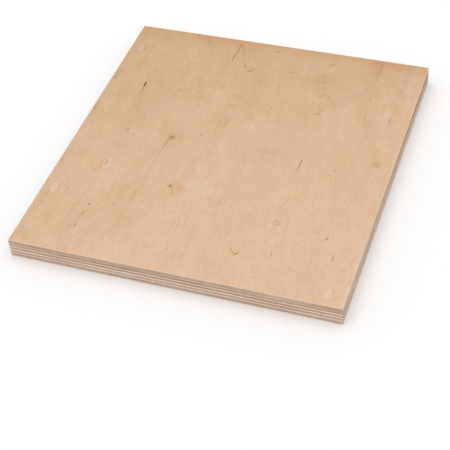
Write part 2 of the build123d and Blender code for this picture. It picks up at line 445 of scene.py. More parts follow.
    # the joint between two veneers, with the left one a shade darker beside it
    S([(85.0, 129.0), (84.7, 115.0), (85.4, 94.0), (85.7, 80.0), (86.1, 67.5), (86.5, 54.0)], 0.55, dark=0.05, warm=0.07, dash=0.85, ends=0.02, deep=0.05, seed=14)
    S([(84.9, 117.4), (84.7, 114.6), (84.8, 112.0)], 0.8, dark=0.195, warm=0.18, ends=0.4, dash=0.2)
    S([(84.9, 129.0), (84.8, 119.0)], 0.7, dark=0.03, ends=0.2, dash=0.4)
    S([(85.6, 82.2), (85.9, 79.6), (86.2, 77.4)], 0.85, dark=0.125, warm=0.20, ends=0.35)
    S([(86.2, 69.0), (86.4, 60.0), (86.6, 54.0)], 0.6, dark=0.075, grey=0.03, ends=0.2)
    C(85.0, 59.5, 1.1, 6.5, -2, grey=0.13)
    S([(86.5, 54.0), (87.8, 52.0), (89.8, 47.8)], 0.85, dark=0.01, warm=0.38, dash=0.2)
    S([(84.2, 128.5), (83.8, 112.0), (84.2, 100.0)], 2.2, dark=0.025, warm=0.05, ends=0.15)
    C(80.8, 113.0, 3.6, 12.0, 0, dark=0.018, warm=0.08)
    C(81.0, 76.0, 4.2, 20.0, 0, dark=0.016)
    C(88.8, 101.0, 3.6, 8.0, 0, pale=0.26)
    C(89.0, 117.0, 3.0, 9.0, 0, pale=0.20)
    C(88.4, 78.0, 2.4, 9.0, 0, pale=0.12)
    S([(106.0, 127.0), (106.4, 117.0), (106.2, 105.0)], 1.3, warm=0.22, dash=0.3)
    S([(109.4, 124.0), (109.2, 104.0)], 1.0, pale=0.22)
    C(115.5, 122.0, 4.0, 8.0, 0, warm=0.10)
    S([(102.8, 102.0), (103.0, 92.0)], 0.9, warm=0.22, dash=0.3)
    S([(104.4, 103.0), (104.4, 90.0)], 0.9, pale=0.16)
    C(103.0, 40.0, 2.6, 3.4, 0, warm=0.14)
    C(110.0, 40.5, 3.0, 2.6, 0, warm=0.12)
    S([(57.2, 100.0), (57.0, 94.0)], 0.6, warm=0.14)

    # the knot left of the middle, and its long tail
    S([(-48.3, 0.4), (-49.0, -3.6), (-49.5, -9.5)], 0.95, dark=0.17, warm=0.32, ends=0.06, start=1.0, stop=0.6, deep=0.08)
    S([(-49.4, -7.0), (-50.0, -25.0), (-50.5, -37.5), (-50.8, -52.0)], 0.6, dark=0.175, warm=0.10, ends=0.04, start=1.0, stop=0.18, dash=0.35, deep=0.06)
    S([(-51.0, -58.0), (-51.2, -65.0), (-51.3, -71.5)], 0.65, dark=0.14, warm=0.10, ends=0.3)
    S([(-51.4, -75.0), (-52.6, -96.0), (-53.4, -120.0)], 0.6, dark=0.03, warm=0.16, dash=0.4)
    C(-42.6, -6.5, 4.0, 5.0, 0, pale=0.20)
    C(-46.6, -6.5, 1.4, 3.4, 0, pale=0.16)

    # the star-shaped knot
    S([(-27.6, -49.9), (-26.6, -52.0), (-25.4, -55.0), (-24.0, -58.5)], 0.95, dark=0.10, warm=0.17, ends=0.10, deep=0.05)
    S([(-28.8, -47.0), (-28.0, -44.0), (-27.7, -41.6)], 0.9, dark=0.01, warm=0.30, ends=0.15)
    S([(-27.0, -47.6), (-25.9, -44.2), (-25.4, -42.0)], 0.9, dark=0.01, warm=0.34, ends=0.15)
    S([(-25.4, -42.0), (-24.4, -39.4), (-22.9, -37.4)], 0.6, warm=0.20)
    S([(-30.8, -48.9), (-33.4, -48.8)], 1.2, warm=0.22)
    S([(-26.2, -50.4), (-22.4, -50.2), (-19.4, -51.0)], 2.2, warm=0.12, ends=0.35)
    S([(-22.2, -46.0), (-19.4, -51.0), (-19.0, -56.0)], 1.0, warm=0.18)
    C(-22.0, -49.5, 3.6, 5.0, 0, warm=0.09, dark=0.005)
    C(-27.4, -55.0, 1.4, 3.4, 0, pale=0.10)
    S([(-38.7, -64.0), (-38.6, -67.6), (-36.9, -70.6), (-32.2, -73.2)], 0.95, warm=0.28, ends=0.2, dash=0.45, shake=0.2)
    S([(-34.0, -64.4), (-32.2, -66.6)], 0.8, warm=0.26)
    S([(-53.8, -65.5), (-52.9, -69.0)], 0.7, warm=0.25)

    # grain lines of the front left quarter, which lean with the grain
    S([(-70.4, -25.0), (-70.0, -33.0), (-69.6, -40.0)], 0.7, dark=0.07, warm=0.06, dash=0.6, seed=15)
    S([(-68.9, -49.0), (-69.4, -57.0), (-70.2, -67.0)], 0.75, dark=0.025, warm=0.22, dash=0.6, seed=16)
    S([(-71.4, -10.0), (-70.6, -24.0)], 0.6, dark=0.04, dash=0.5)
    S([(-69.6, -40.0), (-68.9, -50.0)], 0.6, dark=0.03, dash=0.5)
    S([(-70.2, -67.0), (-71.6, -84.0), (-72.6, -110.0)], 0.6, dark=0.045, warm=0.09, dash=0.7, ends=0.05, seed=18)
    S([(-65.0, -80.0), (-67.2, -95.0), (-70.0, -112.0), (-71.6, -129.0)], 0.55, dark=0.045, warm=0.08, dash=0.7, ends=0.06, seed=19)
    S([(-66.4, -92.0), (-69.0, -112.0), (-70.0, -128.0)], 0.55, dark=0.02, warm=0.14, dash=0.6, seed=20)
    S([(-73.8, -96.0), (-74.2, -112.0), (-75.6, -128.0)], 0.55, dark=0.02, warm=0.08, dash=0.6, seed=21)
    S([(-71.8, -113.5), (-72.2, -129.0)], 0.6, dark=0.01, warm=0.22, dash=0.4, ends=0.25, seed=35)
    S([(-68.6, -117.0), (-69.4, -129.0)], 0.55, warm=0.16, dash=0.4, seed=36)
    S([(-56.4, -43.5), (-56.9, -47.0), (-57.3, -50.5)], 0.75, dark=0.07, dash=0.3)
    S([(-57.3, -50.5), (-60.0, -68.0), (-61.6, -74.5)], 0.6, dark=0.035, dash=0.6)
    S([(-61.6, -74.5), (-61.9, -79.5)], 0.75, dark=0.10, warm=0.10)
    S([(-61.9, -80.0), (-62.8, -96.0)], 0.6, dark=0.03, dash=0.4)
    S([(-113.6, -77.0), (-113.8, -86.0), (-114.6, -102.0), (-116.4, -129.0)], 1.1, warm=0.19, dash=0.4, seed=22)
    S([(-117.2, -84.0), (-118.0, -120.0)], 0.8, warm=0.20, dash=0.4)
    S([(-84.8, -58.0), (-87.0, -78.0), (-89.6, -96.0), (-90.4, -112.0), (-90.7, -127.0)], 0.9, warm=0.24, dash=0.45, seed=23)
    S([(-79.1, -81.9), (-79.3, -88.5)], 0.5, dark=0.07, dash=0.3, ends=0)
    S([(-79.2, -88.2), (-79.6, -90.6), (-80.0, -93.4)], 0.8, dark=0.45, warm=0.06, ends=0.25, dash=0.15, deep=0.06)
    S([(-80.0, -93.2), (-80.3, -99.0), (-80.5, -103.7)], 0.5, dark=0.11, warm=0.08, dash=0.3, ends=0)
    C(-79.2, -84.6, 2.6, 2.2, 0, pale=0.20)
    C(-74.5, -94.5, 2.6, 3.0, 0, dark=0.016)
    S([(-9.9, -106.6), (-10.0, -110.8)], 0.9, dark=0.03, warm=0.30)
    S([(-12.6, -75.4), (-14.2, -79.0), (-15.0, -93.0)], 0.8, warm=0.30, dash=0.3, seed=24)
    S([(-12.6, -75.2), (-10.6, -80.0), (-9.4, -96.0)], 0.8, warm=0.30, dash=0.3, seed=25)
    S([(-7.0, -73.5), (-6.2, -79.5), (-5.5, -85.5)], 0.7, warm=0.34, dark=0.02)
    S([(-118.4, -63.0), (-118.6, -70.0)], 0.9, warm=0.34)

    # the swirl and the chain of growth arcs that runs to the front
    C(6.5, -56.5, 4.5, 4.5, 0, warm=0.09)
    C(12.0, -67.5, 4.5, 4.5, -15, warm=0.13)
    C(10.0, -50.5, 4.0, 1.6, 0, warm=0.10)
    C(13.6, -57.0, 2.0, 3.0, 0, pale=0.14)
    S([(7.6, -60.6), (10.4, -61.6), (13.6, -61.0)], 0.8, warm=0.18, dash=0.3, shake=0.2, seed=30)
    S([(6.8, -62.6), (10.4, -63.8), (14.4, -63.2)], 0.8, warm=0.16, dash=0.3, shake=0.2, seed=31)
    S([(14.6, -62.4), (17.4, -67.0), (20.0, -72.2)], 0.8, warm=0.24, dash=0.45)
    S([(20.8, -73.4), (22.6, -76.6), (24.6, -80.6)], 0.6, warm=0.14)
    S([(24.8, -81.4), (25.5, -83.2), (26.6, -85.2)], 0.85, dark=0.02, warm=0.46)
    S([(26.6, -85.2), (28.0, -86.8), (29.6, -88.0)], 0.7, warm=0.28)
    S([(31.0, -92.4), (31.5, -95.0), (32.6, -97.6)], 0.8, warm=0.30, dash=0.5)
    for x, y, r, d, w in ((33.0, -97.7, 0.7, 0.0, 0.60), (33.6, -98.8, 0.6, 0.02, 0.40), (34.9, -100.3, 0.72, 0.06, 0.80), (36.7, -100.9, 0.66, 0.13, 0.60), (36.75, -102.2, 0.6, 0.07, 0.45), (38.25, -100.5, 0.75, 0.19, 0.76), (39.4, -98.8, 0.5, 0.03, 0.34)):
        K(x, y, r, dark=d, warm=w, squash=1.15, push=0, n=14)
    S([(32.8, -97.5), (34.9, -100.4), (36.7, -101.2), (38.4, -100.5), (39.8, -98.2), (40.6, -95.0)], 0.6, dark=0.01, warm=0.24, ends=0.1, dash=0.4)
    C(36.4, -104.8, 3.4, 2.2, 0, pale=0.20)
    C(36.0, -94.0, 1.8, 3.0, 0, pale=0.16)

    S([(54.35, 2.4), (54.3, -2.0)], 0.85, dark=0.17, warm=0.68, ends=0.3)
    S([(54.3, -1.0), (54.3, -5.0), (54.2, -8.6)], 0.85, dark=0.28, warm=0.26, ends=0.2, dash=0.15, deep=0.08)
    S([(54.2, -7.0), (54.15, -12.6)], 0.8, dark=0.07, warm=0.32, ends=0.25)
    S([(80.7, -2.0), (80.6, -5.8)], 0.95, dark=0.12, warm=0.30, deep=0.05)
    S([(84.0, -13.0), (83.9, -16.5)], 0.7, warm=0.16)
    S([(53.6, -50.6), (54.6, -46.0), (56.0, -42.2), (57.4, -40.0)], 0.9, warm=0.32, dash=0.6, ends=0.1, seed=26)
    S([(42.6, -24.0), (41.6, -38.0)], 0.7, warm=0.20, dash=0.4)
    S([(72.8, -31.0), (74.0, -39.0), (75.2, -44.0), (77.0, -50.0), (78.9, -57.0)], 0.8, warm=0.19, dash=0.4, ends=0.25, seed=27)
    S([(81.6, -64.0), (82.6, -67.4), (84.4, -68.4), (86.0, -67.4), (87.0, -62.6), (87.6, -58.0)], 0.85, warm=0.26, dash=0.6, shake=0.28, seed=28)
    S([(93.5, -66.0), (93.2, -71.2)], 0.7, warm=0.34)
    C(93.8, -76.5, 4.6, 2.8, 0, pale=0.30)
    S([(101.6, -84.2), (101.85, -87.6), (101.8, -92.0)], 0.85, dark=0.165, warm=0.64, ends=0.2, dash=0.12, deep=0.08)
    S([(60.6, -85.0), (60.9, -92.0)], 0.6, dark=0.02, warm=0.10)
    S([(60.9, -92.4), (61.0, -94.2), (60.9, -96.0)], 0.85, dark=0.16, warm=0.26, ends=0.3, deep=0.05)
    S([(60.9, -95.4), (60.9, -99.2)], 0.8, dark=0.04, warm=0.20, ends=0.3)
    S([(61.2, -98.0), (63.2, -103.0)], 0.6, warm=0.16, dash=0.4)
    S([(64.0, -103.0), (63.9, -115.0)], 0.7, dark=0.03, warm=0.18, dash=0.5)
    S([(44.6, -127.0), (46.8, -123.0), (50.4, -119.6), (53.4, -118.7), (56.4, -117.4), (60.0, -116.9), (64.0, -118.2), (67.6, -121.4), (69.8, -124.6)], 0.95, warm=0.12, dash=0.9, shake=0.42, ends=0.2, seed=29)
    S([(52.6, -118.9), (54.4, -118.6), (57.2, -117.4)], 0.7, warm=0.17, dash=0.8, shake=0.3, seed=34)
    S([(56.6, -117.8), (61.8, -116.6)], 0.8, warm=0.10, dash=0.8, shake=0.3, seed=33)
    S([(88.8, -123.0), (88.9, -128.8)], 0.75, dark=0.05, warm=0.30)
    S([(88.2, -93.0), (88.1, -96.5)], 0.7, warm=0.26)
    S([(74.0, -83.0), (74.2, -85.5)], 0.6, warm=0.26)

    # the fine veneer joint at the front, left of the middle
    S([(2.2, -88.0), (2.6, -104.0), (3.2, -129.0)], 0.5, dark=0.065, warm=0.24, ends=0.05, dash=0.3, start=1.1, stop=0.7, deep=0.05)
    C(0.0, -116.0, 2.0, 14.0, 0, dark=0.010)

    # broad lighter and browner places
    C(-70.0, 3.0, 9.0, 12.0, 0, pale=0.16)
    C(-72.0, 63.0, 8.0, 8.0, 0, pale=0.10)
    C(-10.0, -42.0, 8.0, 10.0, 0, pale=0.12)
    C(-72.0, -52.0, 8.0, 8.0, 0, pale=0.10)
    C(22.0, -30.0, 12.0, 10.0, 0, pale=0.08)
    C(-100.0, 84.0, 8.0, 9.0, 0, warm=0.07)
    C(-104.0, 38.0, 7.0, 12.0, 0, warm=0.07)
    C(60.0, 70.0, 16.0, 24.0, 0, dark=0.008)
    C(-60.0, 132.0, 90.0, 12.0, 0, warm=0.15, dark=0.006)
    C(60.0, 132.0, 80.0, 9.0, 0, warm=0.12, dark=0.006)
    C(94.0, 127.0, 26.0, 7.0, 0, warm=0.13, dark=0.012)
    C(10.0, 122.0, 170.0, 26.0, 0, dark=0.012)
    C(-95.0, -100.0, 55.0, 60.0, 0, warm=0.09, dark=0.005)
    C(40.0, -122.0, 120.0, 40.0, 0, dark=0.008)
    C(-70.2, 130.5, 4.0, 2.5, 0, warm=0.2)
    return f


# ---------------------------------------------------------------- the back face
def plain_face():
    """The face it lies on: the same veneer with fewer and plainer marks."""
    f = Face()
    P, K, S, C, F = f.plug, f.knot, f.streak, f.smudge, f.figure
    F(0.5, 56.0, 11.0, 20.0, (0.5, 68.0), 2.0, blunt=2.8, climb=1, weight=0.9)
    F(-16.0, -96.0, 11.0, 18.0, (-16.0, -86.0), 2.0, blunt=2.4, climb=1, weight=0.9)
    F(70.0, -96.0, 12.0, 24.0, (70.0, -112.0), 1.7, blunt=2.4, climb=-1, weight=0.9)
    F(-80.0, 20.0, 10.0, 26.0, (-80.0, 2.0), 2.6, blunt=2.6, climb=-1, weight=0.9)
    F(38.0, 84.0, 11.0, 13.0, (38.0, 84.0), 1.0, 0.7, blunt=0.4, weight=0.7)
    F(-41.0, 12.0, 9.0, 12.0, (-41.0, 12.0), 1.0, 0.6, blunt=0.4, weight=0.7)
    P(-88.0, 74.0, 3.1, 6.3, 0, pale=0.85, line=0.04)
    P(-22.0, 101.0, 3.1, 5.2, 2, pale=0.60, rim_warm=0.14, side=0.6)
    P(63.0, 38.0, 3.0, 6.2, -1, pale=0.95, line=0.03, pointed=1.8)
    P(14.0, -22.0, 3.1, 5.0, 0, pale=0.0, dark=0.07, line=0.03, rim_pale=0.3, side=0.5)
    P(-57.0, -58.0, 3.2, 6.0, 1, pale=0.75, line=0.03)
    P(96.0, -88.0, 3.1, 5.0, 0, pale=0.62, rim_warm=0.12, side=-0.5)
    S([(-84.6, 78.0), (-84.4, 71.0)], 0.9, warm=0.46, dark=0.05)
    S([(66.2, 41.0), (66.5, 34.5)], 0.9, warm=0.48, dark=0.06)
    K(38.0, 84.0, 2.8, dark=0.06, warm=0.30, hollow=0.3, n=32)
    K(-41.0, 12.0, 1.9, dark=0.20, warm=0.14, hollow=0.4, halo=0.12, halo_r=4.5, n=28)
    K(78.0, -30.0, 1.2, dark=0.26, warm=0.20, halo=0.12, halo_r=3.0)
    K(-99.0, -102.0, 1.6, dark=0.12, warm=0.28, halo=0.12, halo_r=4.0, n=24)
    S([(-41.4, 10.2), (-41.9, -4.0), (-42.3, -22.0)], 0.7, dark=0.20, warm=0.10, ends=0.05, start=1, stop=0.2, deep=0.06)
    S([(38.3, 81.4), (38.8, 70.0), (39.4, 52.0)], 0.6, dark=0.12, warm=0.14, ends=0.05, start=1, stop=0.1)
    S([(-5.0, 60.0), (-2.0, 66.5), (0.6, 68.2), (3.4, 66.0), (6.2, 58.0)], 0.85, warm=0.46, dark=0.04, dash=0.3)
    S([(-6.8, 50.0), (-1.4, 58.6), (0.7, 60.0), (2.9, 58.2), (8.0, 48.0)], 0.75, warm=0.32, dash=0.4)
    S([(-22.0, -96.0), (-18.6, -88.6), (-16.2, -86.8), (-13.8, -89.0), (-10.0, -98.0)], 0.85, warm=0.44, dark=0.03, dash=0.3)
    S([(110.0, 112.0), (109.6, 94.0), (109.0, 76.0)], 0.6, dark=0.12, warm=0.10, dash=0.4, deep=0.04)
    rs = np.random.RandomState(71)
    for i in range(26):  # pin knots and short streaks, sown at random
        x, y = rs.uniform(-112, 112), rs.uniform(-122, 122)
        if i % 2:
            K(x, y, rs.uniform(0.55, 0.9), dark=rs.uniform(0.04, 0.26), warm=rs.uniform(0.1, 0.5))
        else:
            n = rs.uniform(3, 12)
            S([(x, y), (x + rs.uniform(-0.3, 0.3), y - n / 2), (x + rs.uniform(-0.4, 0.4), y - n)], rs.uniform(0.6, 0.9), dark=rs.uniform(0.05, 0.28), warm=rs.uniform(0.1, 0.4), ends=0.2, seed=i)
    for i in range(16):
        x, y, n = rs.uniform(-114, 114), rs.uniform(-90, 122), rs.uniform(14, 38)
        S([(x, y), (x + rs.uniform(-0.6, 0.6), y - n / 2), (x + rs.uniform(-1.0, 1.0), y - n)], rs.uniform(0.6, 0.8), dark=rs.uniform(0.01, 0.05), warm=rs.uniform(0.1, 0.3), dash=0.4, seed=40 + i)
    for i in range(18):
        C(rs.uniform(-110, 110), rs.uniform(-120, 120), rs.uniform(4, 12), rs.uniform(6, 20), 0, **{("warm", "dark", "pale")[i % 3]: rs.uniform(0.06, 0.14) * (1.0, 0.12, 1.0)[i % 3]})
    return f


# ---------------------------------------------------------------- the outline
def outline(step):
    """Points of the sheet's outline, anticlockwise from the front left, with their outward normals."""
    out = []
    cx, cy = HX - CORNER_R, HY - CORNER_R
    sides = (
        ((-cx, -HY), (cx, -HY), (0, -1), (cx, -cy)),
        ((HX, -cy), (HX, cy), (1, 0), (cx, cy)),
        ((cx, HY), (-cx, HY), (0, 1), (-cx, cy)),
        ((-HX, cy), (-HX, -cy), (-1, 0), (-cx, -cy)),
    )
    for side, (a, b, n, c) in enumerate(sides):
        a, b = np.array(a), np.array(b)
        k = int(round(np.hypot(*(b - a)) / step))
        for i in range(k + 1):
            out.append((*(a + (b - a) * i / k), *n, side))
        a0 = math.atan2(n[1], n[0])
        for i in range(1, 4):  # round the corner
            t = a0 + math.pi / 2 * i / 4
            out.append((c[0] + CORNER_R * math.cos(t), c[1] + CORNER_R * math.sin(t), math.cos(t), math.sin(t), side if i < 2 else (side + 1) % 4))
    return np.array(out)


rim_points = outline(1.2)
PX, PY, NX, NY = rim_points[:, :4].T
SIDE = rim_points[:, 4].astype(int)
COLS = len(rim_points)
step_len = np.hypot(np.roll(PX, -1) - PX, np.roll(PY, -1) - PY)
ARC = np.concatenate([[0], np.cumsum(step_len)[:-1]])
PERIOD = step_len.sum()
on_x = (SIDE == 0) | (SIDE == 2)  # the front and back edges, which run along X


def wear(seed):
    """How far sanding and handling have rounded an arris, all round the sheet."""
    r = 0.40 + 0.06 * ring_noise(ARC, PERIOD, 23, seed) + 0.05 * ring_noise(ARC, PERIOD, 4.1, seed + 1)
    rs = np.random.RandomState(seed + 2)
    for _ in range(26):  # small splinters gone from the sharp edge
        at, ln, size = rs.uniform(0, PERIOD), rs.uniform(0.7, 1.9), rs.uniform(0.10, 0.34)
        d = np.abs((ARC - at + PERIOD / 2) % PERIOD - PERIOD / 2)
        r += size * np.exp(-((d / ln) ** 2))
    return np.clip(r, 0.22, 0.74)


# browner (and, below zero, paler) stretches of the sawn edge: side, place along it, height, reach along, reach up, dark, warm
EDGE_MARKS = [
    (0, -40.0, 10.25, 85.0, 0.60, 0.120, 0.09),
    (0, 0.0, 2.80, 150.0, 0.80, 0.015, 0.06),
    (0, 0.0, 12.60, 150.0, 0.40, 0.010, 0.04),
    (0, 0.0, 13.70, 150.0, 0.35, -0.045, 0.0),
    (0, -30.0, 7.50, 85.0, 0.50, 0.050, 0.04),
    (0, 85.0, 5.0, 32.0, 0.60, 0.070, 0.05),
    (0, 86.0, 2.2, 30.0, 0.60, -0.100, -0.05),
    (0, 86.0, 13.3, 30.0, 0.30, -0.110, 0.0),
    (0, -96.0, 12.9, 18.0, 0.55, 0.025, 0.06),
    (1, 92.0, 10.4, 40.0, 1.60, 0.190, 0.10),
    (1, 92.0, 7.2, 40.0, 1.20, -0.065, 0.0),
    (1, 30.0, 6.6, 34.0, 1.20, -0.025, 0.0),
    (1, -75.0, 3.3, 60.0, 1.30, -0.055, 0.0),
    (1, 28.0, 10.6, 28.0, 1.60, 0.020, 0.05),
    (1, -92.0, 10.2, 42.0, 1.80, -0.175, 0.03),
    (1, -24.0, 10.6, 26.0, 1.80, -0.055, 0.0),
    (1, -20.0, 6.8, 24.0, 0.90, 0.020, 0.04),
    (2, 40.0, 4.6, 50.0, 0.60, 0.050, 0.06),
    (2, -70.0, 9.8, 36.0, 0.60, 0.040, 0.06),
    (3, -60.0, 8.9, 46.0, 1.20, 0.050, 0.06),
    (3, 74.0, 5.2, 30.0, 1.00, 0.060, 0.05),
]


def edge_rows():
    """Rows of the edge from the back face up to the better one: (inset, height, place among the plies)."""
    low, top = wear(101), wear(201)
    glue = []
    common = 0.05 * ring_noise(ARC, PERIOD, 47, 301)
    for k in range(1, PLIES):
        own = 0.075 * ring_noise(ARC, PERIOD, 34, 310 + k) + 0.035 * ring_noise(ARC, PERIOD, 7.3, 330 + k) + 0.012 * ring_noise(ARC, PERIOD, 2.6, 350 + k)
        glue.append(FACE_PLY + (k - 1) * CORE_PLY + common + own)
    saw = 0.010 * ring_noise(ARC, PERIOD, 2.9, 401) + 0.012 * ring_noise(ARC, PERIOD, 61, 402)

    def proud(k):
        # long-grain plies tear a little, end-grain ones stand clean
        end_grain = (k % 2 == 0) == on_x
        rough = np.where(end_grain, 0.006, 0.020)
        base = np.where(end_grain, 0.012, 0.034)
        v = base + saw + rough * ring_noise(ARC, PERIOD, 1.9, 500 + k) + 0.012 * ring_noise(ARC, PERIOD, 29, 520 + k)
        rs = np.random.RandomState(540 + k)
        for _ in range(9):
            at, ln, size = rs.uniform(0, PERIOD), rs.uniform(1.2, 4.5), rs.uniform(0.03, 0.11)
            d = np.abs((ARC - at + PERIOD / 2) % PERIOD - PERIOD / 2)
            v = v + np.where(end_grain, 0.25, 1.0) * size * np.exp(-((d / ln) ** 2))
        return np.clip(v, 0.0, 0.22)

    z0, z1 = np.zeros(COLS), np.full(COLS, TH)
    one = np.ones(COLS)
    rows = [
        (RIM * one, z0, 0.0, "low"),
        (low + 0.14, z0, 0.0, "low"),
        (low, z0, 0.0, "low"),
        (0.29 * low, 0.29 * low, 0.10, "edge"),
        (proud(0), low, 0.25, "edge"),
        (proud(0), low + 0.10, 0.34, "edge"),
    ]
    for k in range(PLIES):
        lower = glue[k - 1] if k else low
        upper = glue[k] if k < PLIES - 1 else z1 - top
        p = proud(k)
        if k:
            rows.append((p + 0.008, lower + 0.11, k + 0.08, "edge"))
            rows.append((p, lower + (upper - lower) * 0.5, k + 0.5, "edge"))
        else:
            rows.append((p, lower + (upper - lower) * 0.55, 0.6, "edge"))
        if k < PLIES - 1:
            rows.append((p + 0.008, upper - 0.11, k + 0.92, "edge"))
            groove = 0.085 + 0.025 * ring_noise(ARC, PERIOD, 5.3, 600 + k)
            rows.append((np.clip(groove, 0.03, 0.14) + saw, upper, k + 1.0, "edge"))
    rows += [
        (proud(10), z1 - top - 0.10, 10.72, "edge"),
        (proud(10), z1 - top, 10.80, "edge"),
        (0.29 * top, z1 - 0.29 * top, 10.92, "edge"),
        (top, z1, 11.0, "top"),
        (top + 0.14, z1, 11.0, "top"),
        (RIM * one, z1, 11.0, "top"),
    ]
    return rows


# ---------------------------------------------------------------- building the board
def fill(face, loop, step, seed):
    """Triangles over one face inside the loop, fine round its marks and coarse between them."""
    pts = [tuple(p) for p in loop]
    edges = [(i, (i + 1) % len(loop)) for i in range(len(loop))]
    lx, ly = HX - RIM - 0.35, HY - RIM - 0.35
    base, keep = len(pts), {}
    for i, (x, y) in enumerate(face.points):
        if abs(x) < lx and abs(y) < ly:
            keep[i] = len(pts)
            pts.append((x, y))
    edges += [(keep[a], keep[b]) for a, b in face.edges if a in keep and b in keep]
    tree = kdtree.KDTree(len(pts))
    for i, (x, y) in enumerate(pts):
        tree.insert((x, y, 0), i)
    tree.balance()
    rs = np.random.RandomState(seed)
    nx, ny = int(2 * HX / step), int(2 * HY / step)
    for j in range(1, ny):
        for i in range(1, nx):
            x = -HX + (i + 0.5 * (j % 2)) * 2 * HX / nx + rs.uniform(-0.22, 0.22) * step
            y = -HY + j * 2 * HY / ny + rs.uniform(-0.22, 0.22) * step
            if abs(x) < lx - 0.5 and abs(y) < ly - 0.5 and tree.find((x, y, 0))[2] > 0.42 * step:
                pts.append((x, y))
    v, _, tris, src, _, _ = delaunay_2d_cdt([Vector(p) for p in pts], edges, [list(range(len(loop)))], 1, 1e-5, True)
    return np.array([(p.x, p.y) for p in v]), tris, src


def build():
    rows = edge_rows()
    co, ply, zone = [], [], [r[3] for r in rows]
    for inset, z, p, _ in rows:
        co.append(np.stack([PX - NX * inset, PY - NY * inset, z], 1))
        ply.append(np.full(COLS, p))
    # the innermost ring of each face is a plain rectangle
    for k in (0, -1):
        co[k][:, 0] = np.clip(co[k][:, 0], -(HX - RIM), HX - RIM)
        co[k][:, 1] = np.clip(co[k][:, 1], -(HY - RIM), HY - RIM)
        co[k][:, 0] = np.where(np.abs(NY) < 1e-9, np.sign(PX) * (HX - RIM), co[k][:, 0])
        co[k][:, 1] = np.where(np.abs(NX) < 1e-9, np.sign(PY) * (HY - RIM), co[k][:, 1])
        corner = (np.abs(PX) > HX - RIM) & (np.abs(PY) > HY - RIM)
        co[k][corner, 0] = np.sign(PX[corner]) * (HX - RIM)
        co[k][corner, 1] = np.sign(PY[corner]) * (HY - RIM)
    n_rows = len(rows)
    co, ply = np.concatenate(co), np.concatenate(ply)

    quads, quad_zone = [], []
    for r in range(n_rows - 1):
        zone_here = "edge" if "edge" in (zone[r], zone[r + 1]) else zone[r]
        for c in range(COLS):
            d = (c + 1) % COLS
            quads.append((r * COLS + c, r * COLS + d, (r + 1) * COLS + d, (r + 1) * COLS + c))
            quad_zone.append(zone_here)

    channels = {k: [np.zeros(len(co))] for k in CHANNELS}
    verts, faces, face_zone = [co], list(quads), list(quad_zone)
    count = len(co)
    better, plain = better_face(), plain_face()
    for row, z, face, name, seed, step in (
        (n_rows - 1, TH, better, "top", 11, 2.6),
        (0, 0.0, plain, "low", 12, 3.4),
    ):
        ring = np.arange(row * COLS, (row + 1) * COLS)
        loop, index = [], []
        for i in ring:  # corner columns share one point here
            p = (float(co[i, 0]), float(co[i, 1]))
            if not loop or math.hypot(p[0] - loop[-1][0], p[1] - loop[-1][1]) > 1e-6:
                loop.append(p)
                index.append(i)
        if math.hypot(loop[0][0] - loop[-1][0], loop[0][1] - loop[-1][1]) < 1e-6:
            loop.pop()
            index.pop()
        v, tris, src = fill(face, loop, step, seed)
        ids = np.full(len(v), -1)
        for i, s in enumerate(src):
            on_loop = [k for k in s if k < len(loop)]
            if on_loop:
                ids[i] = index[on_loop[0]]
        new = np.where(ids < 0)[0]
        ids[new] = count + np.arange(len(new))
        got = face.read(v[new, 0], v[new, 1])
        # a faint sanded unevenness, always into the board
        dip = got["relief"] + 0.012 * (0.5 + 0.5 * flat_noise(v[new, 0], v[new, 1], 21, 33, seed))
        zz = z - dip if name == "top" else z + dip
        verts.append(np.stack([v[new, 0], v[new, 1], zz], 1))
        for k in CHANNELS:
            channels[k].append(got[k])
        count += len(new)
        for t in tris:
            a, b, c = (int(ids[k]) for k in t)
            faces.append((a, b, c) if name == "top" else (a, c, b))
            face_zone.append(name)
    verts = np.concatenate(verts)
    channels = {k: np.concatenate(v) for k, v in channels.items()}
    # the rim of each face carries the marks that reach it
    for face, name in ((better, "top"), (plain, "low")):
        rr = [r for r in range(n_rows) if zone[r] == name]
        idx = np.concatenate([np.arange(r * COLS, (r + 1) * COLS) for r in rr])
        got = face.read(verts[idx, 0], verts[idx, 1])
        for k in CARRIED:
            channels[k][idx] = got[k]
    for k in STAINS:
        channels[k] = np.clip(channels[k], 0, 1.2)
    for r in (r for r in range(n_rows) if zone[r] == "edge"):
        i = np.arange(r * COLS, (r + 1) * COLS)
        run = np.where(on_x, verts[i, 0], verts[i, 1])
        for side, s, z, rs, rz, dark, warm in EDGE_MARKS:
            w = (SIDE == side) * np.exp(-(((run - s) / rs) ** 2) - ((verts[i, 2] - z) / rz) ** 2)
            channels["dark"][i] += dark * w
            channels["warm"][i] += warm * w
    ply = np.concatenate([ply, np.full(len(verts) - len(ply), 11.0)])
    ply[n_rows * COLS :][verts[n_rows * COLS :, 2] < TH / 2] = 0.0

    # one closed mesh
    bm = bmesh.new()
    channels["ply"] = ply
    for k in CARRIED + ("ply",):
        bm.verts.layers.float.new(k)
    layers = [(bm.verts.layers.float.get(k), channels[k].tolist()) for k in CARRIED + ("ply",)]
    vs = []
    for i, p in enumerate(verts):
        b = bm.verts.new(tuple(p / 1000))
        for layer, values in layers:
            b[layer] = values[i]
        vs.append(b)
    uv = bm.loops.layers.uv.new("OFBake")
    slots = {"top": 0, "low": 1, "edge_x": 2, "edge_y": 3}
    # the edge strip unrolled: how far up its profile each row lies
    prof = np.zeros(n_rows)
    for r in range(1, n_rows):
        a, b = verts[(r - 1) * COLS : r * COLS], verts[r * COLS : (r + 1) * COLS]
        prof[r] = prof[r - 1] + np.median(np.linalg.norm(a - b, axis=1))
    first = next(r for r in range(n_rows) if zone[r] == "low" and zone[r + 1] == "edge")
    last = next(r for r in range(n_rows) if zone[r] == "top")
    rise = (prof - prof[first]) / (prof[last] - prof[first])
    starts = [int(np.where(SIDE == s)[0][0]) if s else 0 for s in range(4)]

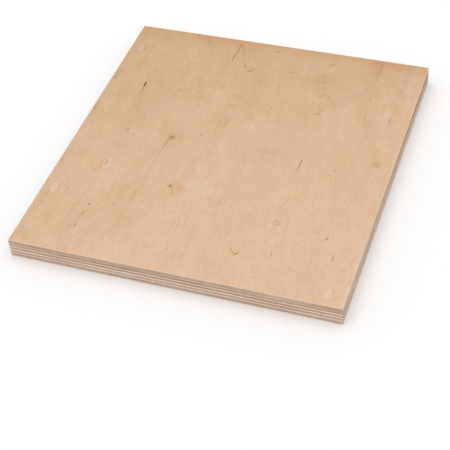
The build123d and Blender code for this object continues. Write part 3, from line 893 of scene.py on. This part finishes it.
    def place_top(x, y):
        return 0.006 + (x + HX) / (2 * HX) * 0.672, 0.262 + (y + HY) / (2 * HY) * 0.732

    def place_low(x, y):  # turned, so that the fine direction across the grain gets the pixels
        return 0.692 + (y + HY) / (2 * HY) * 0.302, 0.262 + (x + HX) / (2 * HX) * 0.732

    for f, z in zip(faces, face_zone):
        try:
            bf = bm.faces.new([vs[i] for i in f])
        except ValueError:
            continue
        bf.smooth = True
        if z != "edge":
            bf.material_index = slots[z]
            for lp in bf.loops:
                x, y = lp.vert.co.x * 1000, lp.vert.co.y * 1000
                lp[uv].uv = place_top(x, y) if z == "top" else place_low(x, y)
            continue
        r, c = f[0] // COLS, f[0] % COLS
        side = SIDE[c]
        bf.material_index = slots["edge_x"] if side in (0, 2) else slots["edge_y"]
        for lp, i in zip(bf.loops, f):
            rr, cc = i // COLS, i % COLS
            run = (ARC[cc] - ARC[starts[side]]) if cc >= c else (PERIOD - ARC[starts[side]] if cc == 0 else 0)
            if cc == 0 and c == COLS - 1:
                run = PERIOD - ARC[starts[side]]
            lp[uv].uv = (0.006 + run / 262.0 * 0.988, 0.006 + 0.0635 * side + rise[rr] * 0.057)
    bmesh.ops.remove_doubles(bm, verts=bm.verts, dist=1e-7)
    bmesh.ops.dissolve_degenerate(bm, dist=1e-8, edges=bm.edges)
    bm.normal_update()
    me = bpy.data.meshes.new("plywood_board")
    bm.to_mesh(me)
    open_edges = sum(1 for e in bm.edges if not e.is_manifold)
    print("BOARD verts", len(bm.verts), "faces", len(bm.faces), "open edges", open_edges)
    bm.free()
    ob = bpy.data.objects.new("plywood_board", me)
    bpy.context.scene.collection.objects.link(ob)
    return ob


# ---------------------------------------------------------------- materials
class Nodes:
    """Short names for the shader nodes used below."""

    def __init__(self, name):
        self.mat = bpy.data.materials.new(name)
        self.mat.use_nodes = True
        self.nt = self.mat.node_tree
        self.nt.nodes.clear()

    def put(self, node, socket, value):
        s = node.inputs[socket]
        if isinstance(value, bpy.types.NodeSocket):
            self.nt.links.new(value, s)
        else:
            s.default_value = value

    def math(self, op, a, b=0.0, clamp=False, c=None):
        n = self.nt.nodes.new("ShaderNodeMath")
        n.operation, n.use_clamp = op, clamp
        self.put(n, 0, a)
        self.put(n, 1, b)
        if c is not None:
            self.put(n, 2, c)
        return n.outputs[0]

    def vmath(self, op, a, b):
        n = self.nt.nodes.new("ShaderNodeVectorMath")
        n.operation = op
        self.put(n, 0, a)
        self.put(n, 1, b)
        return n.outputs[0]

    def place(self):
        """The point on the board, in millimetres."""
        n = self.nt.nodes.new("ShaderNodeTexCoord")
        m = self.nt.nodes.new("ShaderNodeMapping")
        m.inputs["Scale"].default_value = (1000, 1000, 1000)
        self.nt.links.new(n.outputs["Object"], m.inputs["Vector"])
        return m.outputs[0]

    def stretch(self, vec, sizes, move=(0, 0, 0)):
        m = self.nt.nodes.new("ShaderNodeMapping")
        m.inputs["Scale"].default_value = tuple(1 / s for s in sizes)
        m.inputs["Location"].default_value = move
        self.put(m, "Vector", vec)
        return m.outputs[0]

    def noise(self, vec, sizes, move=(0, 0, 0), detail=2.0, rough=0.5, bend=0.0):
        n = self.nt.nodes.new("ShaderNodeTexNoise")
        n.inputs["Scale"].default_value = 1.0
        n.inputs["Detail"].default_value = detail
        n.inputs["Roughness"].default_value = rough
        n.inputs["Distortion"].default_value = bend
        self.put(n, "Vector", self.stretch(vec, sizes, move))
        return n.outputs["Fac"]

    def split(self, vec):
        n = self.nt.nodes.new("ShaderNodeSeparateXYZ")
        self.put(n, 0, vec)
        return n.outputs

    def join(self, x, y, z):
        n = self.nt.nodes.new("ShaderNodeCombineXYZ")
        for i, v in enumerate((x, y, z)):
            self.put(n, i, v)
        return n.outputs[0]

    def span(self, v, a, b, lo=0.0, hi=1.0, kind="LINEAR"):
        n = self.nt.nodes.new("ShaderNodeMapRange")
        n.interpolation_type = kind
        self.put(n, "Value", v)
        for k, x in (("From Min", a), ("From Max", b), ("To Min", lo), ("To Max", hi)):
            self.put(n, k, x)
        return n.outputs["Result"]

    def attr(self, name):
        n = self.nt.nodes.new("ShaderNodeAttribute")
        n.attribute_name = name
        return n.outputs["Fac"]

    def mix(self, fac, a, b, how="MIX"):
        n = self.nt.nodes.new("ShaderNodeMix")
        n.data_type, n.blend_type = "RGBA", how
        n.clamp_factor = False
        self.put(n, 0, fac)
        self.put(n, 6, a)
        self.put(n, 7, b)
        return n.outputs[2]

    def off(self, v, size):
        """A noise about 0.5 made into one about nothing, of the given size."""
        return self.math("MULTIPLY", self.math("SUBTRACT", v, 0.5), size)

    def total(self, *parts):
        s = None
        for v, size in parts:
            s = self.math("MULTIPLY_ADD", self.math("SUBTRACT", v, 0.5), size, c=0.0 if s is None else s)
        return s

    def share(self, amount, each, rest=(0.0, 0.0, 0.0)):
        """amount of a stain, taken from the three colours in the shares each, added to the rest."""
        n = self.nt.nodes.new("ShaderNodeVectorMath")
        n.operation = "MULTIPLY_ADD"
        self.put(n, 0, amount)
        self.put(n, 1, each)
        self.put(n, 2, rest)
        return n.outputs[0]

    def fade(self, lost):
        """What is left of the light after a stain, exp(-lost) for each colour."""
        return self.join(*(self.math("EXPONENT", self.math("MULTIPLY", s, -1.0)) for s in self.split(lost)))

    def steps(self, fac, values):
        """One value for each ply, with a sharp change at each glue line."""
        n = self.nt.nodes.new("ShaderNodeValToRGB")
        n.color_ramp.interpolation = "CONSTANT"
        els = n.color_ramp.elements
        while len(els) > 1:
            els.remove(els[-1])
        for i, v in enumerate(values):
            e = els[0] if i == 0 else els.new(i / len(values))
            e.position = i / len(values)
            e.color = (v, v, v, 1)
        self.put(n, 0, fac)
        return n.outputs[0]

    def finish(self, colour, rough, height, depth, strength, shine):
        out = self.nt.nodes.new("ShaderNodeOutputMaterial")
        p = self.nt.nodes.new("ShaderNodeBsdfPrincipled")
        self.put(p, "Base Color", colour)
        self.put(p, "Roughness", rough)
        p.inputs["Specular IOR Level"].default_value = shine
        b = self.nt.nodes.new("ShaderNodeBump")
        b.inputs["Strength"].default_value = strength
        b.inputs["Distance"].default_value = depth
        self.put(b, "Height", height)
        self.nt.links.new(b.outputs[0], p.inputs["Normal"])
        self.nt.links.new(p.outputs[0], out.inputs["Surface"])
        return self.mat


def rgb(r, g, b):
    """A colour given as it shows, turned into the light values that shaders use."""
    return tuple(((v / 255 + 0.055) / 1.055) ** 2.4 if v > 10 else v / 255 / 12.92 for v in (r, g, b)) + (1.0,)


# how much of red, green and blue light a stain of strength 1 takes, in log units
K_DARK = (1.73, 2.44, 3.46)
K_WARM = (0.24, 0.64, 1.12)
K_GREY = (0.42, 0.50, 0.58)
K_PALE = (-0.045, -0.12, -0.225)
K_GRAIN = (-0.32, -0.64, -1.00)  # lighter wood is also less yellow
K_TINGE = (0.0083, 0.0024, -0.0076)


def veneer(name, warm_shaded_end, pale_lit_end, lean, move):
    """A rotary-cut birch face: soft clouds, long streaks with the grain, fine fibre and pores,
    and the board's own marks laid over them."""
    n = Nodes(name)
    at = n.place()
    x, y, z = n.split(at)
    # the grain leans and wanders a little, and parts round each knot
    wander = n.off(n.noise(at, (60, 110, 60), move=(3 + move, 8, 0), detail=1.0), 7.0)
    wander = n.math("ADD", wander, n.off(n.noise(at, (14, 30, 30), move=(1 + move, 5, 0), detail=1.0), 2.4))
    if lean:
        shear = n.math("MULTIPLY", n.span(y, -25, -130, 0, 9.5), n.span(x, -15, -62, 0, 1))
        wander = n.math("ADD", wander, shear)
    own = n.attr("own")
    gx = n.math("SUBTRACT", n.math("ADD", x, wander), n.attr("flow"))
    gx = n.math("ADD", gx, n.math("MULTIPLY", own, 33.7))
    gy = n.math("ADD", y, n.math("MULTIPLY", own, 17.1))
    g = n.join(gx, gy, z)

    cloud = n.noise(g, (30, 44, 30), move=(1.7 + move, 4.1, 0), detail=3.0, rough=0.6)
    patchy = n.noise(g, (9, 13, 9), move=(7.7, 1.3 + move, 0), detail=2.0, rough=0.55)
    broad = n.noise(g, (7.5, 150, 30), move=(2.2 + move, 0.4, 0), detail=2.0)
    band = n.noise(g, (2.4, 60, 30), move=(5.1, 2.9 + move, 0), detail=2.0, rough=0.6)
    streak = n.noise(g, (0.95, 22, 30), move=(0.3 + move, 6.3, 0), detail=2.0, rough=0.6)
    fibre = n.noise(g, (0.34, 6.5, 30), move=(9.3, 0.9 + move, 0), detail=2.0, rough=0.6)
    fleck = n.noise(g, (1.6, 3.2, 30), move=(3.9, 7.7 + move, 0), detail=1.0)
    mottle = n.noise(g, (0.75, 1.7, 30), move=(6.1, 2.2 + move, 0), detail=1.0)
    ripple = n.noise(g, (16, 2.6, 30), move=(4.4, 3.3, 0), detail=1.0)
    pore = n.noise(g, (0.20, 1.9, 30), move=(2.6, 5.8 + move, 0), detail=1.0)
    pore = n.span(pore, 0.66, 0.76)
    busy = n.span(n.noise(g, (17, 40, 30), move=(8.2, 3.6 + move, 0), detail=1.0), 0.3, 0.7, 0.75, 1.25)
    tinge = n.noise(g, (2.0, 9, 30), move=(4.7, 1.9 + move, 0), detail=3.0, rough=0.7)
    blush = n.noise(g, (12, 30, 30), move=(1.4, 6.9 + move, 0), detail=2.0)

    # growth lines where the figure closes; the straight grain gives way there
    fu, fv = n.attr("figu"), n.attr("figv")
    fig = n.math("ADD", n.math("MULTIPLY", fu, fu), n.math("MULTIPLY", fv, fv))
    fig = n.math("SQRT", n.math("ADD", fig, n.attr("figc")))
    fig = n.math("ADD", fig, n.attr("figd"))
    figw = n.attr("figw")
    ring = n.noise(n.join(fig, n.math("MULTIPLY", x, 0.08), n.math("MULTIPLY", y, 0.05)), (1.05, 1, 1), move=(0.2, move, 0), detail=1.0)
    straight = n.math("SUBTRACT", 1.0, n.math("MULTIPLY", figw, 0.65))

    # how light or stained the wood is, in log units of blue light
    u = n.total((cloud, 0.41), (patchy, 0.27), (broad, 0.15), (ripple, 0.05), (fleck, 0.12), (mottle, 0.42))
    lines = n.total((band, 0.13), (streak, 0.18), (fibre, 0.46))
    lines = n.math("MULTIPLY", n.math("MULTIPLY", lines, busy), straight)
    if lean:
        lines = n.math("MULTIPLY", lines, n.span(x, 100, -110, 0.84, 0.98))
    u = n.math("ADD", u, lines)
    u = n.math("ADD", u, n.math("MULTIPLY", n.off(ring, 0.42), figw))
    u = n.math("SUBTRACT", u, n.math("MULTIPLY", pore, 0.05))

    # every stain takes its share out of red, green and blue
    grain = n.math("ADD", 0.75, n.math("MULTIPLY", fibre, 0.5))
    hold = n.math("ADD", 0.76, n.math("MULTIPLY", streak, 0.48))
    lost = n.share(n.math("MULTIPLY", n.attr("dark"), hold), K_DARK)
    lost = n.share(n.math("MULTIPLY", n.attr("warm"), grain), K_WARM, lost)
    lost = n.share(n.attr("grey"), K_GREY, lost)
    lost = n.share(n.attr("pale"), K_PALE, lost)
    lost = n.share(u, K_GRAIN, lost)
    lost = n.share(n.total((tinge, 9.0), (blush, 11.0)), K_TINGE, lost)
    # painted light fall-off: the ground is painted darker and warmer towards the back left and paler and cooler towards
    # the front right, standing in for how the light and its sheen fall across the face
    light_falloff = n.math("ADD", n.math("MULTIPLY", x, 0.0010), n.math("MULTIPLY", y, -0.0024))
    light_falloff = n.math("ADD", light_falloff, 0.485)
    ground = n.mix(light_falloff, warm_shaded_end, pale_lit_end)
    col = n.vmath("MULTIPLY", ground, n.fade(lost))

    rough = n.math("ADD", 0.60, n.off(fibre, 0.22))
    rough = n.math("ADD", rough, n.math("MULTIPLY", n.attr("dark"), 0.15))
    height = n.math("ADD", n.math("MULTIPLY", fibre, 0.6), n.math("MULTIPLY", streak, 0.5))
    height = n.math("SUBTRACT", height, n.math("MULTIPLY", pore, 0.6))
    return n.finish(col, rough, height, 0.00006, 0.35, 0.28)


def ply_edge(name, along_x, tones, light, brown, glue, move):
    """A sawn edge. Plies whose grain runs with the edge show long brown streaks, the others
    show their pale, pored end grain, with a thin dark glue line between each pair."""
    n = Nodes(name)
    at = n.place()
    x, y, z = n.split(at)
    run = x if along_x else y
    ply = n.attr("ply")
    here = n.math("FLOOR", n.math("MINIMUM", ply, 10.99))
    into = n.math("SUBTRACT", ply, here)
    # 1 where the ply shows end grain
    odd = n.math("MODULO", here, 2.0)
    end_grain = n.math("SUBTRACT", 1.0, odd) if along_x else odd
    tone = n.steps(n.math("DIVIDE", ply, 11.0), tones)
    # each ply changes tone slowly along the edge, on its own
    lane = n.math("MULTIPLY", here, 7.31)
    slow = n.noise(n.join(run, n.math("MULTIPLY", lane, 50.0), 0.0), (46, 50, 50), move=(move, 0.3, 0), detail=2.0, rough=0.55)
    quick = n.noise(n.join(run, n.math("MULTIPLY", lane, 50.0), 0.0), (9, 50, 50), move=(move, 5.3, 0), detail=2.0, rough=0.6)
    tone = n.math("ADD", tone, n.math("MULTIPLY", n.math("SUBTRACT", slow, 0.5), 0.85))
    tone = n.math("ADD", tone, n.math("MULTIPLY", n.math("SUBTRACT", quick, 0.5), 0.30))

    flow = n.join(run, lane, z)
    long_streak = n.noise(flow, (13, 9, 0.16), move=(1.1, move, 0), detail=3.0, rough=0.6)
    long_fine = n.noise(flow, (3.2, 9, 0.06), move=(4.1, move, 0), detail=2.0, rough=0.6)
    rays = n.noise(flow, (0.22, 9, 1.6), move=(8.4, move, 0), detail=2.0, rough=0.6)
    pores = n.noise(flow, (0.12, 9, 0.10), move=(3.7, move, 0), detail=1.0)
    pores = n.span(pores, 0.60, 0.72)
    year = n.noise(flow, (5.5, 9, 0.5), move=(6.2, move, 0), detail=2.0)
    saw = n.noise(n.join(n.math("ADD", run, n.math("MULTIPLY", z, 0.35)), 0.0, z), (0.55, 9, 40), move=(2.9, move, 0), detail=2.0, rough=0.6)
    saw_broad = n.noise(n.join(n.math("ADD", run, n.math("MULTIPLY", z, 0.35)), 0.0, z), (3.4, 9, 60), move=(6.9, move, 0), detail=1.0)

    with_grain = n.math("ADD", n.math("MULTIPLY", n.math("SUBTRACT", long_streak, 0.5), 0.85), n.math("MULTIPLY", n.math("SUBTRACT", long_fine, 0.5), 0.50))
    across = n.math("ADD", n.math("MULTIPLY", n.math("SUBTRACT", rays, 0.5), 0.50), n.math("MULTIPLY", n.math("SUBTRACT", year, 0.5), 0.35))
    across = n.math("SUBTRACT", across, n.math("MULTIPLY", pores, 0.22))
    detail = n.math("ADD", n.math("MULTIPLY", with_grain, n.math("SUBTRACT", 1.0, end_grain)), n.math("MULTIPLY", across, end_grain))
    tone = n.math("ADD", tone, detail)
    tone = n.math("ADD", tone, n.math("MULTIPLY", n.math("SUBTRACT", saw, 0.5), 0.26))
    tone = n.math("ADD", tone, n.math("MULTIPLY", n.math("SUBTRACT", saw_broad, 0.5), 0.18))

    col = n.mix(n.math("MAXIMUM", n.math("MINIMUM", tone, 1.4), -0.4), brown, light)
    # the glue line, thin and broken, with a soft stain either side
    off = n.math("ABSOLUTE", n.math("SUBTRACT", into, 0.5))
    off = n.math("SUBTRACT", 0.5, off)  # 0 on a line, 0.5 in the middle of a ply
    inner = n.math("MULTIPLY", n.span(ply, 0.55, 0.7), n.span(ply, 10.45, 10.3))
    line = n.math("MULTIPLY", n.span(off, 0.075, 0.035, kind="SMOOTHSTEP"), inner)
    stain = n.math("MULTIPLY", n.span(off, 0.20, 0.03, kind="SMOOTHSTEP"), inner)
    broken = n.span(n.noise(flow, (4.2, 9, 0.9), move=(7.2, move, 0), detail=2.0), 0.32, 0.60, 0.35, 1.0)
    col = n.mix(n.math("MULTIPLY", stain, 0.16), col, (0.62, 0.50, 0.40, 1), "MULTIPLY")
    col = n.mix(n.math("MULTIPLY", n.math("MULTIPLY", line, broken), 0.85), col, glue)
    # the arrises are painted paler: partly the lighter rubbed wood, partly a painted highlight where the arris catches
    # the light
    arris = n.math("MAXIMUM", n.span(ply, 10.66, 10.94), n.span(ply, 0.34, 0.06))
    col = n.mix(n.math("MULTIPLY", arris, 0.88), col, rgb(230, 205, 182))
    lost = n.share(n.attr("warm"), K_WARM, n.share(n.attr("dark"), K_DARK))
    col = n.vmath("MULTIPLY", col, n.fade(lost))

    rough = n.math("ADD", 0.74, n.math("MULTIPLY", end_grain, 0.08))
    rough = n.math("ADD", rough, n.math("MULTIPLY", n.math("SUBTRACT", detail, 0.0), 0.10))
    height = n.math("ADD", n.math("MULTIPLY", detail, 0.9), n.math("MULTIPLY", saw, 0.8))
    height = n.math("SUBTRACT", height, n.math("MULTIPLY", line, 0.5))
    return n.finish(col, rough, height, 0.00009, 0.55, 0.22)


board = build()
# each face's ground runs from a darker warm colour at the back left to a paler one at the front right; the difference
# between the two is painted light fall-off and sheen
board.data.materials.append(veneer("veneer_better_face", rgb(200, 162, 124), rgb(220, 189, 160), True, 0.0))
board.data.materials.append(veneer("veneer_back_face", rgb(206, 170, 133), rgb(214, 180, 148), False, 5.0))
board.data.materials.append(ply_edge("ply_edge_front_and_back", True, (0.66, 0.40, 1.06, 0.42, 1.16, 0.26, 0.96, 0.38, 0.62, 0.34, 0.46), rgb(226, 206, 190), rgb(171, 132, 104), rgb(118, 83, 58), 0.0))
board.data.materials.append(ply_edge("ply_edge_sides", False, (0.40, 0.86, 0.44, 0.84, 0.34, 0.74, 0.26, 0.62, 0.20, 0.66, 0.80), rgb(220, 198, 180), rgb(163, 127, 102), rgb(115, 82, 59), 3.0))
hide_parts("plywood_sheet")
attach(board, "root")


# ---------------------------------------------------------------- floor, light, camera
def make_floor():
    """A wide floor, left open under the board so that light reaches the back face there."""
    me = bpy.data.meshes.new("floor")
    bm = bmesh.new()
    xs = (-5.0, 0.0013 - HX / 1000, HX / 1000 - 0.0013, 5.0)
    ys = (-5.0, 0.0013 - HY / 1000, HY / 1000 - 0.0013, 5.0)
    grid = [[bm.verts.new((x, y, -0.0002)) for x in xs] for y in ys]
    for j in range(3):
        for i in range(3):
            if (i, j) != (1, 1):
                bm.faces.new((grid[j][i], grid[j][i + 1], grid[j + 1][i + 1], grid[j + 1][i]))
    bm.to_mesh(me)
    bm.free()
    ob = bpy.data.objects.new("floor", me)
    bpy.context.scene.collection.objects.link(ob)
    m = bpy.data.materials.new("floor_pale")
    m.use_nodes = True
    nt = m.node_tree
    nt.nodes.clear()
    out = nt.nodes.new("ShaderNodeOutputMaterial")
    p = nt.nodes.new("ShaderNodeBsdfPrincipled")
    p.inputs["Base Color"].default_value = (0.94, 0.94, 0.94, 1)
    p.inputs["Roughness"].default_value = 0.9
    p.inputs["Specular IOR Level"].default_value = 0.0
    # seen from under the board the floor lets light and sight through
    clear = nt.nodes.new("ShaderNodeBsdfTransparent")
    geo = nt.nodes.new("ShaderNodeNewGeometry")
    mix = nt.nodes.new("ShaderNodeMixShader")
    nt.links.new(geo.outputs["Backfacing"], mix.inputs[0])
    nt.links.new(p.outputs[0], mix.inputs[1])
    nt.links.new(clear.outputs[0], mix.inputs[2])
    nt.links.new(mix.outputs[0], out.inputs["Surface"])
    ob.data.materials.append(m)
    return ob


make_floor()

world = bpy.data.worlds.new("studio")
bpy.context.scene.world = world
world.use_nodes = True
sky = world.node_tree.nodes.get("Background") or world.node_tree.nodes.new("ShaderNodeBackground")
sky.inputs["Color"].default_value = (1.0, 1.0, 1.0, 1)
sky.inputs["Strength"].default_value = 0.79


def area(name, at, to, size, power, colour=(1, 1, 1)):
    lamp = bpy.data.lights.new(name, "AREA")
    lamp.shape, lamp.size, lamp.size_y = "RECTANGLE", size[0], size[1]
    lamp.energy, lamp.color = power, colour
    ob = bpy.data.objects.new(name, lamp)
    ob.location = at
    ob.rotation_mode = "QUATERNION"
    ob.rotation_quaternion = (Vector(to) - Vector(at)).to_track_quat("-Z", "Y")
    bpy.context.scene.collection.objects.link(ob)
    return ob


area("softbox_above", (-0.05, 0.0, 1.5), (0, 0, 0), (1.6, 1.6), 9.0, (1.0, 0.99, 0.98))

cam_data = bpy.data.cameras.new("camera")
cam_data.sensor_width, cam_data.lens = 36.0, 97.342
cam_data.clip_start, cam_data.clip_end = 0.01, 30
cam = bpy.data.objects.new("camera", cam_data)
bpy.context.scene.collection.objects.link(cam)
right, up, back = (0.944232, 0.322375, -0.067087), (-0.182113, 0.681008, 0.709269), (0.274337, -0.657497, 0.701738)
spot = (0.252672, -0.630128, 0.605614)
cam.matrix_world = Matrix([[right[i], up[i], back[i], spot[i]] for i in range(3)] + [[0, 0, 0, 1]])
bpy.context.scene.camera = cam

view = bpy.context.scene.view_settings
view.view_transform, view.look, view.exposure, view.gamma = "Standard", "None", 0.0, 1.0
